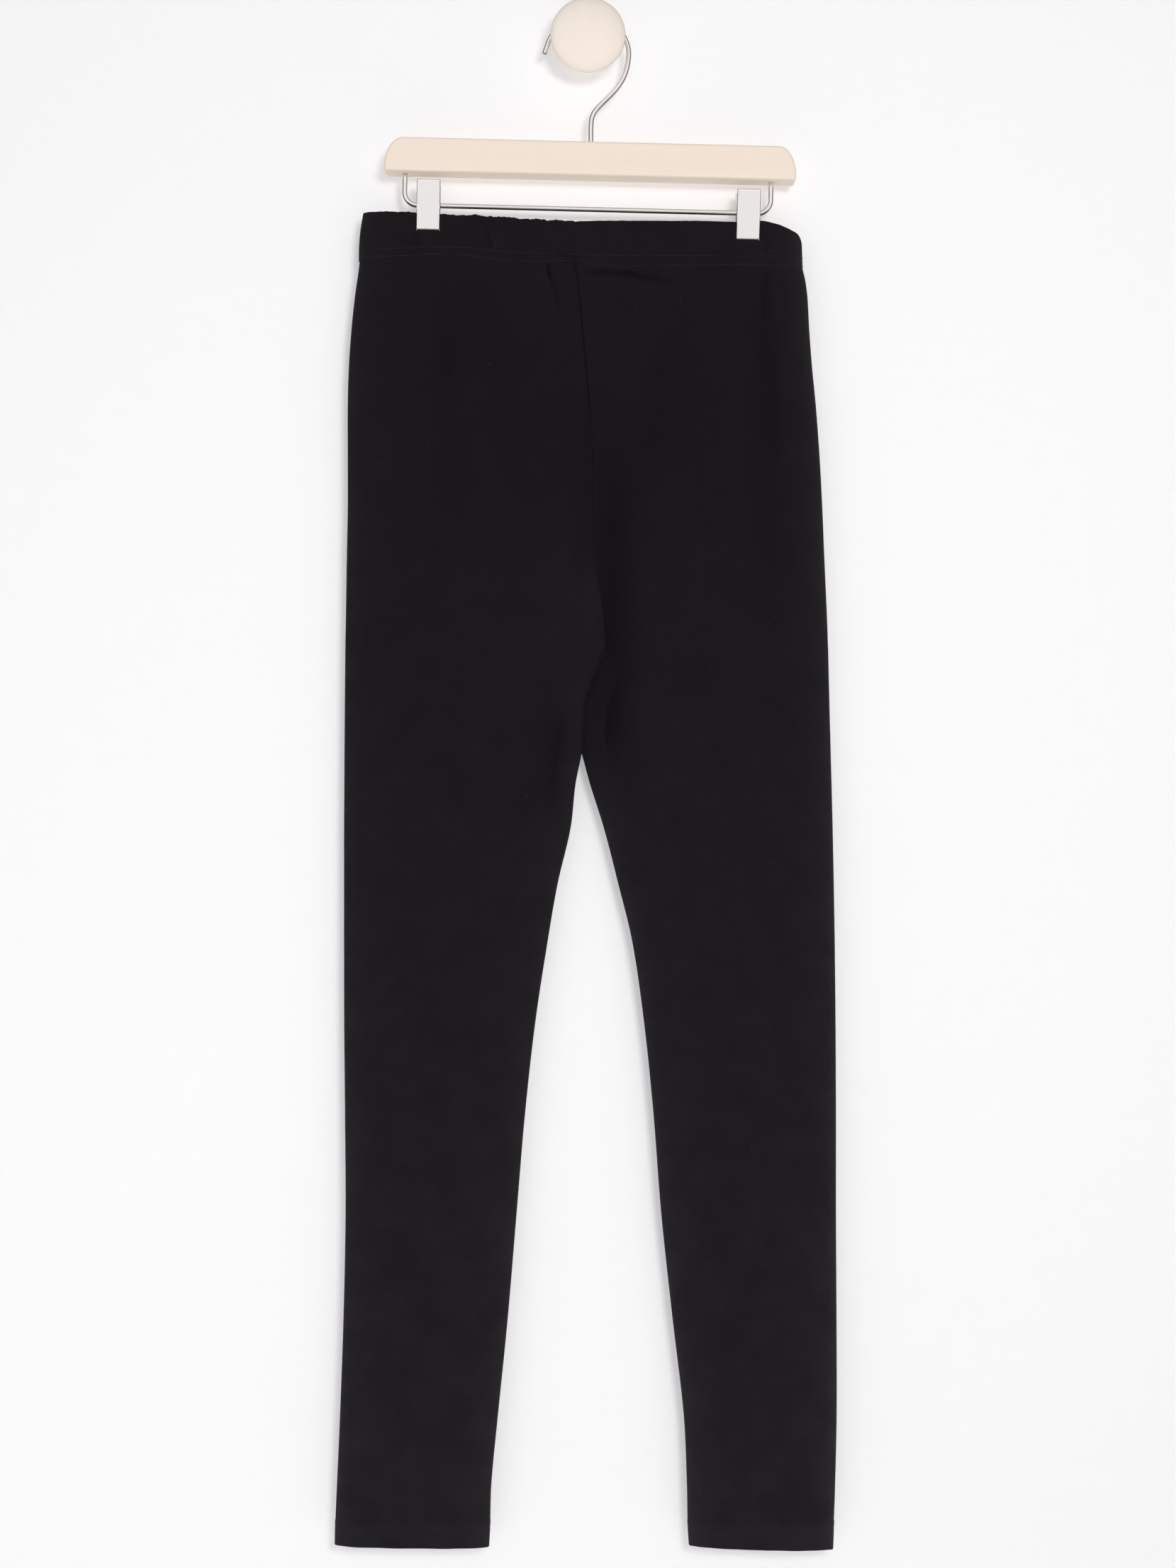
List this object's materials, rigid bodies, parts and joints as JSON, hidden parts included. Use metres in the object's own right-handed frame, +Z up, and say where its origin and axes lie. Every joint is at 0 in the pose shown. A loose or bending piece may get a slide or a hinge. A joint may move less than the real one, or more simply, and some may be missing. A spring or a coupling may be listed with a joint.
{
  "type": "leggings on a clip hanger and wall knob",
  "caption": "Black full-length jersey leggings with an elastic waistband, clipped flat to a wooden bar hanger whose hook hangs on a turned wall knob.",
  "frame": {"origin": "centre of the wall knob's flat back face, on the wall", "axes": "+Z up, +Y into the wall, +X to the right as seen from the front; the garment hangs in front of the wall on the -Y side"},
  "size_m": [0.3628, 0.0405, 1.1185],
  "materials": {
    "black_jersey": "matte cotton jersey with a fine knit",
    "waistband_jersey": "matte cotton jersey over flat elastic, lightly gathered",
    "knob_wood": "pale turned wood, matte",
    "birch": "pale birch with a thin satin varnish",
    "satin_steel": "bright satin steel wire",
    "satin_nickel": "satin nickel plate"
  },
  "bodies": {
    "root": {"waistband_left": "waistband_jersey", "waistband_right": "waistband_jersey", "leg_left": "black_jersey", "leg_right": "black_jersey", "hem_left": "black_jersey", "hem_right": "black_jersey", "knob": "knob_wood", "hook": "satin_steel", "hanger_bar": "birch", "rail": "satin_steel", "clip_left_front": "satin_nickel", "clip_left_back": "satin_nickel", "clip_left_spring": "satin_steel", "clip_right_front": "satin_nickel", "clip_right_back": "satin_nickel", "clip_right_spring": "satin_steel"}
  },
  "joints": []
}
